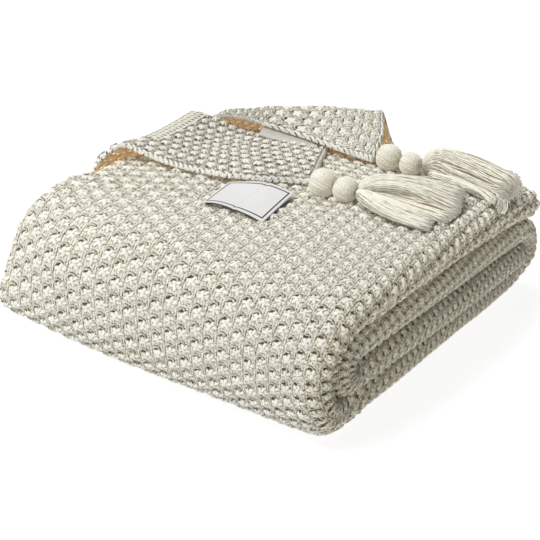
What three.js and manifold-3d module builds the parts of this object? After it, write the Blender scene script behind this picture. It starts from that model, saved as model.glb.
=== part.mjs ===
// Knit throw blanket, folded into a stack, with two corners turned over to show their tassels.
// Millimetres, +Z up. X runs along the folded front edge, Y from the front to the back.
// The origin is under the middle of the stack, on the surface that it lies on.
import * as THREE from 'three';
import Module from 'manifold-3d';

const wasm = await Module();
wasm.setup();

// Cloth: a 1520 x 1410 mm knit panel, first folded in four across X
const clothThickness = 5.8;
const layerGap = 1.35;
const leafWidth = 380;
const freeEdgeInset = { outer: 2, inner: 8 };

// Stack: the folded strip is wound round itself, four leaves high
const leafGap = 1.2;
const frontWrapY = -133;
const backBandY = 154;
const innerTurnY = -132;
const topEnd = { startY: 139, run: 26, droop: 8 };
const innerLeafRun = 262;

// How the stack settles
const crown = 0.08;
const crownY = -12;
const frontPress = 0.18;
const backPress = 0.08;
const sidePress = 0.03;
const frontBow = { middleX: -70, reach: 10, spread: 200 };
const frontSpread = { left: 36, middle: 26, right: 10, height: 62 };
const frontCornerDraw = 16;
const cornerPull = 0.014;
const sideWave = { reach: 1.4, length: 47, rise: 31 };
const endWave = { reach: 1.6, length: 61, rise: 40 };
const bottomTuck = { front: 7, back: 14, height: 40 };

// Balls strung on the corner ties, and the tassels after them
const ball = { near: 13.4, far: 12.0, length: 0.86, sides: 16, rings: 10, clearance: 0.8 };
const tassel = { rows: 4, columns: 14, steps: 5 };
const head = { length: 20, width: 27, height: 20, sides: 12, tieLift: 11, clearance: 0.6 };
const lock = { rootRadius: 0.7, endRadius: 1.3, rootLift: 2.6, slackLift: 2.4, endLift: 2 };

// Labels
const wideLabelThickness = 1.0;
const tapeLabel = { thickness: 0.9, onTop: 7.5, under: 5, clearance: 0.8 };

const layerPitch = clothThickness + layerGap;
const leafThickness = 4 * clothThickness + 3 * layerGap;
const leafPitch = leafThickness + leafGap;
const stackHeight = 4 * leafThickness + 3 * leafGap;
const halfWidth = leafWidth / 2;
const halfDepth = 190;
const degrees = Math.PI / 180;

const smooth = (from, to, value) => {
  const t = Math.min(1, Math.max(0, (value - from) / (to - from)));
  return t * t * (3 - 2 * t);
};
const mix = (a, b, t) => a + (b - a) * t;

// A path of straight runs and round turns in a plane. A left turn is positive.
function walk(start, heading, moves) {
  let [x, y] = start;
  let angle = heading * degrees;
  const stations = [{ x, y, angle, part: moves[0].part }];
  for (const move of moves) {
    for (let step = 0; step < move.steps; step++) {
      if (move.run) {
        x += Math.cos(angle) * move.run / move.steps;
        y += Math.sin(angle) * move.run / move.steps;
      } else {
        const side = Math.sign(move.turn) * move.radius;
        const next = angle + move.turn * degrees / move.steps;
        x += side * (Math.sin(next) - Math.sin(angle));
        y += side * (Math.cos(angle) - Math.cos(next));
        angle = next;
      }
      stations.push({ x, y, angle, part: move.part });
    }
  }
  return stations;
}

// Section of one leaf: layer 1 on the outside, its long fold at +X, layers 4, 3 and 2 inside it.
function leafSection() {
  const outerTurn = 1.5 * layerPitch;
  const innerTurn = 0.5 * layerPitch;
  const rightFold = halfWidth - leafThickness / 2;
  const leftFold = -halfWidth + layerPitch;
  const centre = walk([-halfWidth + freeEdgeInset.outer, outerTurn], 0, [
    { run: rightFold + halfWidth - freeEdgeInset.outer, steps: 5, part: 'layer 1' },
    { turn: -180, radius: outerTurn, steps: 8 },
    { run: rightFold - leftFold, steps: 5 },
    { turn: -180, radius: innerTurn, steps: 4 },
    { run: rightFold - leftFold, steps: 4 },
    { turn: 180, radius: innerTurn, steps: 4 },
    { run: rightFold + halfWidth - freeEdgeInset.inner, steps: 4 },
  ]);
  const side = (sign) => centre.map(({ x, y, angle, part }) => ({
    part,
    x: x - sign * Math.sin(angle) * clothThickness / 2,
    out: y + sign * Math.cos(angle) * clothThickness / 2,
  }));
  return [...side(1), ...side(-1).reverse()];
}

// Path of the leaf: top leaf, round the front, bottom leaf, up round the back, and inside again.
function stackPath() {
  const top = 3.5 * leafThickness + 3 * leafGap;
  const droop = topEnd.run * Math.tan(topEnd.droop / 2 * degrees);
  const topStart = [topEnd.startY + topEnd.run, top - droop];
  return walk(topStart, 180 - topEnd.droop, [
    { part: 'top', turn: topEnd.droop, radius: topEnd.run / Math.sin(topEnd.droop * degrees), steps: 3 },
    { part: 'top', run: topEnd.startY - frontWrapY, steps: 6 },
    { part: 'front wrap', turn: 180, radius: 1.5 * leafPitch, steps: 12 },
    { part: 'bottom', run: backBandY - frontWrapY, steps: 5 },
    { part: 'back band', turn: 180, radius: leafPitch, steps: 9 },
    { part: 'upper inside', run: backBandY - innerTurnY, steps: 5 },
    { part: 'inner turn', turn: 180, radius: leafPitch / 2, steps: 7 },
    { part: 'lower inside', run: innerLeafRun, steps: 4 },
  ]);
}

// Crowned in the middle and pressed down towards the edges. The front bows out and spreads where
// it is low, with its upper left corner drawn in. The underside stays flat at z = 0.
function settle(point) {
  const { x, y, z } = point;
  const across = x / halfWidth;
  const fromCrown = (y - crownY) / halfDepth;
  const press = (fromCrown < 0 ? frontPress : backPress) * fromCrown ** 2;
  const swell = (1 + crown - press) * (1 - sidePress * across ** 2);
  const fromMiddle = Math.min(1, Math.abs(x - frontBow.middleX) / frontBow.spread);
  const bow = frontBow.reach * Math.cos(fromMiddle * Math.PI / 2) ** 2;
  const low = Math.max(0, 1 - z / frontSpread.height) ** 1.6;
  const end = across < 0 ? frontSpread.left : frontSpread.right;
  const spread = mix(frontSpread.middle, end, Math.abs(across) ** 3) * low;
  const drawn = frontCornerDraw * smooth(-110, -halfWidth, x) * smooth(15, 85, z);
  const along = y / halfDepth;
  const sideways = sideWave.reach * Math.sin(y / sideWave.length + z / sideWave.rise) * Math.abs(across) ** 3;
  const endways = endWave.reach * Math.sin(x / endWave.length + z / endWave.rise) * Math.abs(along) ** 3;
  return new THREE.Vector3(
    x * (1 - cornerPull * along ** 4) + sideways,
    y - (bow + spread * smooth(-85, -150, y) - drawn) * smooth(-60, -150, y) + endways,
    z * swell,
  );
}

const stackTop = (x, y) => settle(new THREE.Vector3(x, y, stackHeight)).z;
const above = (x, y, lift) => new THREE.Vector3(x, y, stackTop(x, y) + lift);

// One closed body from a list of equal rings of points.
function loft(rings, capStart, capEnd) {
  const count = rings[0].length;
  const positions = rings.flat().flatMap((p) => [p.x, p.y, p.z]);
  const faces = [];
  for (let ring = 0; ring + 1 < rings.length; ring++) {
    for (let i = 0; i < count; i++) {
      const a = ring * count + i;
      const b = ring * count + (i + 1) % count;
      faces.push(a, b, b + count, a, b + count, a + count);
    }
  }
  const last = (rings.length - 1) * count;
  for (const [i, j, k] of capStart) faces.push(k, j, i);
  for (const [i, j, k] of capEnd) faces.push(last + i, last + j, last + k);
  return toSolid(positions, faces);
}

// Faces that close a ring with the given flat outline, in the ring's own order.
function capFaces(outline) {
  const triangles = THREE.ShapeUtils.triangulateShape(outline, []);
  return triangles.map((triangle) => [...triangle].sort((a, b) => a - b));
}

// A solid with its faces pointing out, whichever way the rings ran.
function toSolid(positions, faces) {
  const build = (triangles) => new wasm.Manifold(new wasm.Mesh({
    numProp: 3,
    vertProperties: new Float32Array(positions),
    triVerts: new Uint32Array(triangles),
  }));
  const volume = signedVolume(positions, faces);
  if (volume > 0) return build(faces);
  const turned = [];
  for (let i = 0; i < faces.length; i += 3) turned.push(faces[i], faces[i + 2], faces[i + 1]);
  return build(turned);
}

function signedVolume(positions, faces) {
  const corner = (i) => new THREE.Vector3().fromArray(positions, 3 * i);
  let total = 0;
  for (let i = 0; i < faces.length; i += 3) {
    const [a, b, c] = [faces[i], faces[i + 1], faces[i + 2]].map(corner);
    total += a.dot(b.cross(c)) / 6;
  }
  return total;
}

function toGeometry(solid) {
  const mesh = solid.getMesh();
  const geometry = new THREE.BufferGeometry();
  geometry.setAttribute('position', new THREE.Float32BufferAttribute(mesh.vertProperties, 3));
  geometry.setIndex([...mesh.triVerts]);
  geometry.computeVertexNormals();
  return geometry;
}

// A curved sheet of even thickness from a grid of points on its middle surface.
function sheet(grid, thickness) {
  const rows = grid.length;
  const columns = grid[0].length;
  const at = (i, j) => grid[Math.min(rows - 1, Math.max(0, i))][Math.min(columns - 1, Math.max(0, j))];
  const shifted = (i, j, side) => {
    const alongRow = at(i, j + 1).clone().sub(at(i, j - 1));
    const acrossRows = at(i + 1, j).clone().sub(at(i - 1, j));
    const normal = alongRow.cross(acrossRows).normalize();
    return at(i, j).clone().addScaledVector(normal, side * thickness / 2);
  };
  const rings = grid.map((row, i) => [
    ...row.map((_, j) => shifted(i, j, 1)),
    ...row.map((_, j) => shifted(i, columns - 1 - j, -1)),
  ]);
  const cap = [];
  for (let j = 0; j + 1 < columns; j++) {
    const under = 2 * columns - 1 - j;
    cap.push([j, j + 1, under - 1], [j, under - 1, under]);
  }
  return loft(rings, cap, cap);
}

// Surface through sections that are each a short row of points.
function gridThrough(sections, rows, columns) {
  const curves = sections.map((points) => new THREE.CatmullRomCurve3(points, false, 'centripetal'));
  const samples = curves.map((curve) => curve.getSpacedPoints(columns));
  const grid = Array.from({ length: rows + 1 }, () => []);
  for (let j = 0; j <= columns; j++) {
    const across = new THREE.CatmullRomCurve3(samples.map((line) => line[j]), false, 'centripetal');
    for (let i = 0; i <= rows; i++) grid[i].push(across.getPoint(i / rows));
  }
  return grid;
}

// Corner one, turned over the left edge of the stack. Each row is a section from its root in
// layer 1, over the crest of the bend, down to the foot where it lies flat, and on to its end.
const cornerOne = [
  { rootY: -94, crestX: -176, crestY: -46, crestLift: 16, footX: -112, footY: -37, sag: -13, lift: 2.8, endX: 33, endY: 6 },
  { rootY: -56, crestX: -178, crestY: -14, crestLift: 11, footX: -118, footY: -2, sag: -8, lift: 1.4, endX: 17, endY: 37 },
  { rootY: -20, crestX: -180, crestY: 18, crestLift: 10, footX: -122, footY: 32, sag: -4, lift: 0, endX: 0, endY: 68 },
  { rootY: 18, crestX: -182, crestY: 46, crestLift: 15, footX: -126, footY: 66, sag: 0, lift: 0, endX: -18, endY: 100 },
  { rootY: 56, crestX: -187, crestY: 72, crestLift: 23, footX: -130, footY: 96, sag: 0, lift: 0, endX: -36, endY: 130 },
];
const flatLift = leafGap + clothThickness / 2;
const rootDepth = -clothThickness / 2 - 0.4;
const cornerOneFold = 14;

function cornerOneSolid() {
  const sections = cornerOne.map((row) => {
    const bendY = mix(row.rootY, row.crestY, 0.35);
    const shoulderX = mix(row.crestX, row.footX, 0.45);
    const midX = mix(row.footX, row.endX, 0.5);
    const midY = mix(row.footY, row.endY, 0.5) + row.sag;
    return [
      above(-164, row.rootY, rootDepth),
      above(-179, row.rootY, rootDepth),
      above(-189, bendY, 0.3 * row.crestLift),
      above(row.crestX, row.crestY, row.crestLift),
      above(shoulderX, mix(row.crestY, row.footY, 0.6), mix(row.crestLift, flatLift, 0.4)),
      above(row.footX, row.footY, flatLift + 1 + row.lift / 2),
      above(midX, midY, flatLift + row.lift),
      above(row.endX, row.endY, flatLift),
    ];
  });
  return sheet(gridThrough(sections, 9, 22), clothThickness);
}

// Corner two, turned over from the back of the stack. Each row runs from its root in the back
// end of the top leaf, up over the crest, and down to its free end.
const cornerTwo = [
  { root: [-178, 118], crest: [-164, 93, 140], end: [-160, 86, 137] },
  { root: [-148, 142], crest: [-136, 106, 144], end: [-134, 95, 137.5] },
  { root: [-106, 150], crest: [-108, 122, 148], end: [-108, 103, 134] },
  { root: [-54, 152], crest: [-56, 148, 151.5], end: [-50, 104, 131.5] },
  { root: [-6, 153], crest: [-22, 162, 152.5], end: [2, 99, 127.8] },
  { root: [56, 153], crest: [0, 174, 152.5], end: [38, 99, 125.5], hollow: 1 },
];

function cornerTwoGrid() {
  const sections = cornerTwo.map((row) => {
    const hollow = row.hollow ?? 0;
    const root = above(...row.root, rootDepth);
    const crest = new THREE.Vector3(...row.crest);
    const end = new THREE.Vector3(...row.end);
    const back = root.clone().lerp(crest, 0.5).add(new THREE.Vector3(0, 12 - 10 * hollow, 2 - 8 * hollow));
    const front = crest.clone().lerp(end, 0.5).add(new THREE.Vector3(0, 0, 2));
    return [root, back, crest, front, end];
  });
  return gridThrough(sections, 10, 16);
}

const outerLeaves = ['front wrap', 'bottom', 'back band'];

// The whole cloth: the wound stack and its two turned corners are one piece.
function blanketSolid() {
  const section = leafSection();
  const path = stackPath();
  const rings = path.map(({ x: y, y: z, angle, part: leaf }) => {
    const tuck = mix(bottomTuck.front, bottomTuck.back, smooth(-90, 60, y)) * smooth(bottomTuck.height, 0, z);
    const turned = leaf === 'top' ? cornerOneFold * smooth(-107, -82, y) : 0;
    return section.map(({ x, out, part: layer }) => {
      const retreat = layer === 'layer 1' ? turned * smooth(-60, -halfWidth, x) : 0;
      const tucked = outerLeaves.includes(leaf) ? tuck * smooth(0, halfWidth, x) : 0;
      return settle(new THREE.Vector3(x + retreat - tucked, y + out * Math.sin(angle), z - out * Math.cos(angle)));
    });
  });
  const outline = section.map(({ x, out }) => new THREE.Vector2(x, out));
  const cap = capFaces(outline);
  const stack = loft(rings, cap, cap);
  return stack.add(cornerOneSolid()).add(sheet(cornerTwoGrid(), clothThickness)).simplify(0.04);
}

// A ball of yarn wound on a core, flattened where the tie runs through it.
function ballGeometry(radius) {
  const profile = Array.from({ length: ball.rings + 1 }, (_, i) => {
    const angle = Math.PI * i / ball.rings;
    const across = i === 0 || i === ball.rings ? 0 : radius * Math.sin(angle);
    return new THREE.Vector2(across, -radius * Math.cos(angle) * mix(ball.length, 1, Math.sin(angle)));
  });
  return new THREE.LatheGeometry(profile, ball.sides);
}

const ballPlaces = [
  { name: 'ball_front_near', radius: ball.near, x: 50, y: 0, turn: 8 },
  { name: 'ball_front_far', radius: ball.far, x: 73.5, y: 3, turn: 8 },
  { name: 'ball_rear_near', radius: ball.near, x: 56, y: 104, turn: 5 },
  { name: 'ball_rear_far', radius: ball.far, x: 80, y: 106, turn: 5 },
];

// Tassels lie on the stack. Each swells from its tie into a bundle that opens into a fan, from one
// bearing to the other, and ends there at the given lengths. The raised side arches off the stack.
const tasselPlaces = [
  { name: 'tassel_front', x: 87, y: 5, turn: 12, from: -34, to: 40, short: 76, long: 100, swell: 8, raise: 12 },
  { name: 'tassel_rear', x: 93, y: 112, turn: 12, from: -28, to: 14, short: 114, long: 98, swell: 34, raise: 13 },
];

function tasselSolid(place) {
  const turn = place.turn * degrees;
  const world = (along, side, lift) => {
    const x = place.x + along * Math.cos(turn) - side * Math.sin(turn);
    const y = place.y + along * Math.sin(turn) + side * Math.cos(turn);
    return new THREE.Vector3(x, y, surfaceUnderTassel(x, y) + lift);
  };
  let solid = headSolid(world);
  for (let row = 0; row < tassel.rows; row++) {
    for (let column = 0; column < tassel.columns; column++) {
      const side = (column + 0.25 + 0.5 * (row % 2)) / tassel.columns;
      solid = solid.add(lockSolid(world, place, row / (tassel.rows - 1), side));
    }
  }
  return solid;
}

// The stack's top, rounding down over the roll along its right edge.
function surfaceUnderTassel(x, y) {
  const rollStart = halfWidth - leafThickness / 2;
  const over = Math.min(1, Math.max(0, (x - rollStart) / (leafThickness / 2)));
  const drop = (1 - Math.sqrt(1 - over * over)) * leafThickness / 2;
  return stackTop(Math.min(x, halfWidth), y) - 0.6 * drop + 2.5 * Math.sqrt(over);
}

function headSolid(world) {
  const round = Array.from({ length: head.sides }, (_, i) => {
    const angle = 2 * Math.PI * i / head.sides;
    return new THREE.Vector2(Math.cos(angle), Math.sin(angle));
  });
  const rings = [
    { along: 0, size: 0.3 }, { along: 2, size: 0.6 }, { along: 6, size: 0.8 },
    { along: 12, size: 0.95 }, { along: head.length, size: 1 },
  ].map(({ along, size }) => {
    const middle = mix(head.tieLift, head.clearance + head.height / 2, size);
    return round.map((p) => world(along, size * head.width / 2 * p.x, middle + size * head.height / 2 * p.y));
  });
  const cap = capFaces(round);
  return loft(rings, cap, cap);
}

// One lock of yarn, three sided, from inside the head to its loose end. Level runs from 0 in the
// lowest row to 1 in the highest, and side from 0 at one edge of the fan to 1 at the other.
function lockSolid(world, place, level, side) {
  const across = side - 0.5;
  const bearing = (mix(place.from, place.to, side) - place.turn) * degrees;
  const length = mix(place.short, place.long, side) * (1 - 0.04 * Math.sin(17 * across + 5 * level));
  const outward = new THREE.Vector3(Math.cos(bearing), Math.sin(bearing), 0);
  const raised = place.raise * side;
  const rim = Math.sqrt(1 - (1.8 * across) ** 2);
  const start = new THREE.Vector3(
    0.65 * head.length, 0.84 * head.width * across, head.clearance + head.height * (0.5 + 0.8 * rim * (level - 0.5)));
  const pull = start.clone().addScaledVector(outward, 0.32 * length);
  pull.y += across * place.swell;
  pull.z = lock.rootLift + 17 * level + raised * (0.4 + level);
  const slack = outward.clone().multiplyScalar(0.66 * length);
  slack.y += 9 * across;
  slack.z = lock.slackLift + 12 * level + raised * (0.4 + level);
  const end = outward.clone().multiplyScalar(length).setZ(lock.endLift + 7 * level + raised * level);
  const line = new THREE.CubicBezierCurve3(start, pull, slack, end);
  const rings = [];
  for (let step = 0; step <= tassel.steps; step++) {
    const t = step / tassel.steps;
    const { x: along, y: aside, z: lift } = line.getPoint(t);
    const radius = mix(lock.rootRadius, lock.endRadius, smooth(0, 0.6, t));
    rings.push([90, 210, 330].map((angle) => world(
      along, aside + radius * Math.cos(angle * degrees), lift + radius * Math.sin(angle * degrees))));
  }
  return loft(rings, [[0, 1, 2]], [[0, 1, 2]]);
}

// Wide woven label, sewn on the top leaf, waved and lifted along its front edge.
const wideLabelCorners = {
  frontLeft: { x: -30, y: -79 }, backLeft: { x: -46, y: -21 },
  frontRight: { x: 45, y: -78 }, backRight: { x: 31, y: -18 },
};

function wideLabelSolid() {
  const { frontLeft, frontRight, backLeft, backRight } = wideLabelCorners;
  const grid = [];
  for (let i = 0; i <= 6; i++) {
    const back = i / 6;
    grid.push(Array.from({ length: 13 }, (_, j) => {
      const across = j / 12;
      const x = mix(mix(frontLeft.x, frontRight.x, across), mix(backLeft.x, backRight.x, across), back);
      const y = mix(mix(frontLeft.y, frontRight.y, across), mix(backLeft.y, backRight.y, across), back);
      const wave = (1 - back) * (2.4 + 2.0 * Math.sin(2 * Math.PI * (across * 1.3 + 0.05)));
      return above(x, y, 1.6 + Math.max(0, wave) + 0.5 * Math.sin(across * 9));
    }));
  }
  return sheet(grid, wideLabelThickness);
}

// Narrow tape label, folded double over the free edge of corner two.
const tapeLabelSpan = { from: 0.4, to: 0.63 };

function tapeLabelSolid() {
  const edge = cornerTwoGrid();
  const last = edge[0].length - 1;
  const endOf = new THREE.CatmullRomCurve3(edge.map((row) => row[last]));
  const beforeEnd = new THREE.CatmullRomCurve3(edge.map((row) => row[last - 1]));
  const turnRadius = clothThickness / 2 + tapeLabel.clearance + tapeLabel.thickness / 2;
  const grid = [];
  for (let i = 0; i <= 4; i++) {
    const t = mix(tapeLabelSpan.from, tapeLabelSpan.to, i / 4);
    const end = endOf.getPoint(t);
    const out = end.clone().sub(beforeEnd.getPoint(t)).normalize();
    const up = out.clone().cross(endOf.getTangent(t)).normalize();
    if (up.z < 0) up.negate();
    const place = (reach, rise) => end.clone().addScaledVector(out, reach).addScaledVector(up, rise);
    grid.push([
      place(-tapeLabel.onTop, turnRadius + 0.4),
      place(-tapeLabel.onTop / 2, turnRadius + 0.2),
      ...[90, 60, 30, 0, -30, -60, -90].map((angle) => place(
        0.7 + turnRadius * Math.cos(angle * degrees), turnRadius * Math.sin(angle * degrees))),
      place(-tapeLabel.under, -turnRadius),
    ]);
  }
  return sheet(grid, tapeLabel.thickness);
}

const group = new THREE.Group();
const ivoryYarn = new THREE.MeshStandardMaterial({ color: 0xe6dfd0, roughness: 0.92, metalness: 0 });
const paleYarn = new THREE.MeshStandardMaterial({ color: 0xf0e9da, roughness: 0.88, metalness: 0 });
const whiteSatin = new THREE.MeshStandardMaterial({ color: 0xf2f0ec, roughness: 0.6, metalness: 0 });

function addMesh(name, geometry, material) {
  const mesh = new THREE.Mesh(geometry, material);
  mesh.name = name;
  group.add(mesh);
  return mesh;
}

addMesh('blanket', toGeometry(blanketSolid()), ivoryYarn);
for (const place of ballPlaces) {
  const mesh = addMesh(place.name, ballGeometry(place.radius), paleYarn);
  mesh.position.copy(above(place.x, place.y, place.radius + ball.clearance));
  mesh.rotation.set(0, 0, (place.turn - 90) * degrees);
}
for (const place of tasselPlaces) addMesh(place.name, toGeometry(tasselSolid(place)), paleYarn);
addMesh('label_wide', toGeometry(wideLabelSolid()), whiteSatin);
addMesh('label_tape', toGeometry(tapeLabelSolid()), whiteSatin);

export default group;
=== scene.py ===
import bpy
import math
import numpy as np
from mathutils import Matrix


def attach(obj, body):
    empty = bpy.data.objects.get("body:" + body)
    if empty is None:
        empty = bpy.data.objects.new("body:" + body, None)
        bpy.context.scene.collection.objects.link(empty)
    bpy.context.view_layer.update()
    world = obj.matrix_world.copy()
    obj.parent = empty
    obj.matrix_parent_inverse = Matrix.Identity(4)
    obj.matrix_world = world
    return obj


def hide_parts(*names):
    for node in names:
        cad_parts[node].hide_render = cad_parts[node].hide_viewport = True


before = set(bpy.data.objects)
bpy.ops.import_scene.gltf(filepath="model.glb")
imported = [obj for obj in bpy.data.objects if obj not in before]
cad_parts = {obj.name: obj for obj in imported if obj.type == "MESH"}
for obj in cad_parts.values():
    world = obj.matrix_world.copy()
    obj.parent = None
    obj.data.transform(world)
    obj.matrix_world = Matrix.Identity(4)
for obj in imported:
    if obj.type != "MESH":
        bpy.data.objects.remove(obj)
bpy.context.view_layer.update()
print("frame loaded")

# the photograph's view, in millimetres and degrees
cameraView = {"azimuth": 39.1, "elevation": 24.1, "distance": 878.7, "target": (0.0, -12.0, 54.6),
              "focalPixels": 900.0, "imageSize": 540, "targetPixel": (272.0, 251.0)}


def placeCamera():
    turn, rise = math.radians(cameraView["azimuth"]), math.radians(cameraView["elevation"])
    back = (math.sin(turn) * math.cos(rise), -math.cos(turn) * math.cos(rise), math.sin(rise))
    place = [(t + cameraView["distance"] * b) / 1000 for t, b in zip(cameraView["target"], back)]
    bpy.ops.object.camera_add(location=place, rotation=(math.pi / 2 - rise, 0, turn))
    camera = bpy.context.object
    size = cameraView["imageSize"]
    camera.data.sensor_width = 36
    camera.data.lens = 36 * cameraView["focalPixels"] / size
    camera.data.shift_x = (size / 2 - cameraView["targetPixel"][0]) / size
    camera.data.shift_y = -(size / 2 - cameraView["targetPixel"][1]) / size
    camera.data.clip_end = 50
    bpy.context.scene.camera = camera


studio = {"world": 0.14, "key": 92.0, "keyPlace": (-1.0, -1.6, 3.0), "keySize": 1.3,
          "fill": 22.0, "fillPlace": (1.0, -3.05, 1.5), "fillSize": 1.5,
          "back": 26.0, "backPlace": (-0.8, 1.1, 2.4), "backSize": 0.9,
          "floor": (0.2, 0.2, 0.2), "floorGlow": 0.87, "floorSize": 80}


def areaLight(name, power, place, size):
    bpy.ops.object.light_add(type="AREA", location=place)
    light = bpy.context.object
    light.name = name
    light.data.energy = power
    light.data.size = size
    away = math.hypot(place[0], place[1])
    light.rotation_euler = (math.atan2(away, place[2]), 0, math.atan2(place[0], -place[1]))


def makeStudio():
    world = bpy.context.scene.world or bpy.data.worlds.new("studio")
    bpy.context.scene.world = world
    world.use_nodes = True
    background = world.node_tree.nodes["Background"]
    background.inputs["Color"].default_value = (1, 1, 1, 1)
    background.inputs["Strength"].default_value = studio["world"]
    for light in ("key", "fill", "back"):
        areaLight(light + "Light", studio[light], studio[light + "Place"], studio[light + "Size"])
    bpy.ops.object.select_all(action="DESELECT")
    bpy.ops.mesh.primitive_plane_add(size=studio["floorSize"], location=(0, 0, 0))
    floor = bpy.context.object
    floor.name = "floor"
    paint = bpy.data.materials.new("paleFloor")
    paint.use_nodes = True
    for name, value in {"Base Color": (*studio["floor"], 1), "Roughness": 0.9, "Emission Color": (1, 1, 1, 1),
                        "Emission Strength": studio["floorGlow"]}.items():
        paint.node_tree.nodes["Principled BSDF"].inputs[name].default_value = value
    floor.data.materials.append(paint)


placeCamera()
makeStudio()
bpy.context.scene.view_settings.view_transform = "Standard"
print("camera and studio ready")


# a socket that adds Math nodes when it is used in an expression
class Wire:
    def __init__(self, finish, socket):
        self.finish = finish
        self.socket = socket

    def math(self, operation, *values):
        inputs = dict(enumerate(values))
        return self.finish.node("ShaderNodeMath", {"operation": operation}, inputs)

    def __neg__(self):
        return self.math("MULTIPLY", self, -1.0)


for word, kind in {"add": "ADD", "sub": "SUBTRACT", "mul": "MULTIPLY", "truediv": "DIVIDE"}.items():
    setattr(Wire, f"__{word}__", lambda wire, other, kind=kind: wire.math(kind, wire, other))
    setattr(Wire, f"__r{word}__", lambda wire, other, kind=kind: wire.math(kind, other, wire))


# a material under construction
class Finish:
    def __init__(self, name, roughness, sheen=0.0):
        self.material = bpy.data.materials.new(name)
        self.material.use_nodes = True
        self.nodes = self.material.node_tree.nodes
        self.links = self.material.node_tree.links
        self.shader = self.nodes["Principled BSDF"]
        self.shader.inputs["Roughness"].default_value = roughness
        self.shader.inputs["Sheen Weight"].default_value = sheen
        self.shader.inputs["Sheen Roughness"].default_value = 0.5
        self.shader.inputs["Specular IOR Level"].default_value = 0.2

    def node(self, kind, settings, inputs, output=0):
        node = self.nodes.new(kind)
        for name, value in settings.items():
            if name == "stops":
                stops = node.color_ramp.elements
                while len(stops) < len(value):
                    stops.new(0.5)
                for stop, (place, colour) in zip(stops, value):
                    stop.position = place
                    stop.color = (*colour, 1)
            else:
                setattr(node, name, value)
        for name, value in inputs.items():
            self.feed(node.inputs[name], value)
        return Wire(self, node.outputs[output])

    def feed(self, socket, value):
        if isinstance(value, Wire):
            self.links.new(value.socket, socket)
        else:
            socket.default_value = value

    # the piece's own map, whole and as its two numbers
    def ownMap(self):
        place = self.node("ShaderNodeUVMap", {"uv_map": "stitches"}, {})
        parts = self.nodes.new("ShaderNodeSeparateXYZ")
        self.feed(parts.inputs[0], place)
        return place, Wire(self, parts.outputs[0]), Wire(self, parts.outputs[1])

    def mix(self, share, first, second):
        return self.node("ShaderNodeMix", {"data_type": "RGBA"}, {0: share, 6: first, 7: second}, 2)

    def noise(self, vector, scale, detail=2.0):
        return self.node("ShaderNodeTexNoise", {}, {"Vector": vector, "Scale": scale, "Detail": detail})

    def bump(self, height, distance, strength):
        self.feed(self.shader.inputs["Normal"], self.node("ShaderNodeBump", {}, {
            "Height": height, "Distance": distance, "Strength": strength}))

    def colour(self, value, glow=0.0):
        self.feed(self.shader.inputs["Base Color"], value)
        if glow:
            self.feed(self.shader.inputs["Emission Color"], value)
            self.shader.inputs["Emission Strength"].default_value = glow


# the same names work on sockets and on arrays of numbers
def either(operation, onArrays):
    return lambda *values: values[0].math(operation, *values) if isinstance(values[0], Wire) else onArrays(*values)


wholeOf, rootOf, sineOf = either("FLOOR", np.floor), either("SQRT", np.sqrt), either("SINE", np.sin)
bearingOf = either("ARCTAN2", np.arctan2)
higher, lower = either("MAXIMUM", np.maximum), either("MINIMUM", np.minimum)


def rise(low, high, value):
    t = lower(higher((value - low) / (high - low), 0.0), 1.0)
    return t * t * (3.0 - 2.0 * t)


def mixed(first, second, share):
    return first + (second - first) * share


fullTurn, quarterTurn = 6.2832, 1.5708

# the knit: one star of yarn at each point of a slanted lattice, under a thick rope and between thin strands
knit = {"acrossStep": (14.5, -3.5), "downStep": (-3.5, 16.5), "rowShift": 0.68, "starSize": 5.5, "lobes": 5,
        "lobeDepth": 0.8, "archMiddle": (-2.8, -3.4), "ropeMiddle": 5.1, "ropeEdge": 7.05, "strandPitch": 2.7515,
        "strandLean": 0.2121, "firstStrand": 3.1, "base": 0.38, "lowLift": 1.9, "relief": 3.3}
# how light each part of a stitch is, and how much painted shade its holes, grooves, hollows and edges take off
stitchTones = {"strand": 0.80, "strandGroove": 0.40, "shortGroove": 0.50, "strandTwist": 0.20,
               "rope": 0.62, "ropeGroove": 0.34, "ropeHook": 0.55, "onTop": 0.08, "hole": 0.54, "looseHole": 0.73,
               "star": 1.02, "starDome": 0.10, "between": 0.56, "pit": 0.75, "topLowerShade": 0.36, "rim": 0.22}


def stitchLocal(u, w):
    across = u - wholeOf(u + 0.5)
    down = w - wholeOf(w + knit["rowShift"])
    (ax, ay), (dx, dy) = knit["acrossStep"], knit["downStep"]
    return across * ax + down * dx, across * ay + down * dy


# 1 on the top, where the stars stand up as rounder bobbles with painted shade between and below them, and 1 along the
# right-hand side, where the holes show larger and darker with painted shade
def topAt(w):
    return rise(-20.0, -15.0, -w)


def sideAt(u, w):
    return rise(21.6, 23.6, u + w * 0.17)
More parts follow.
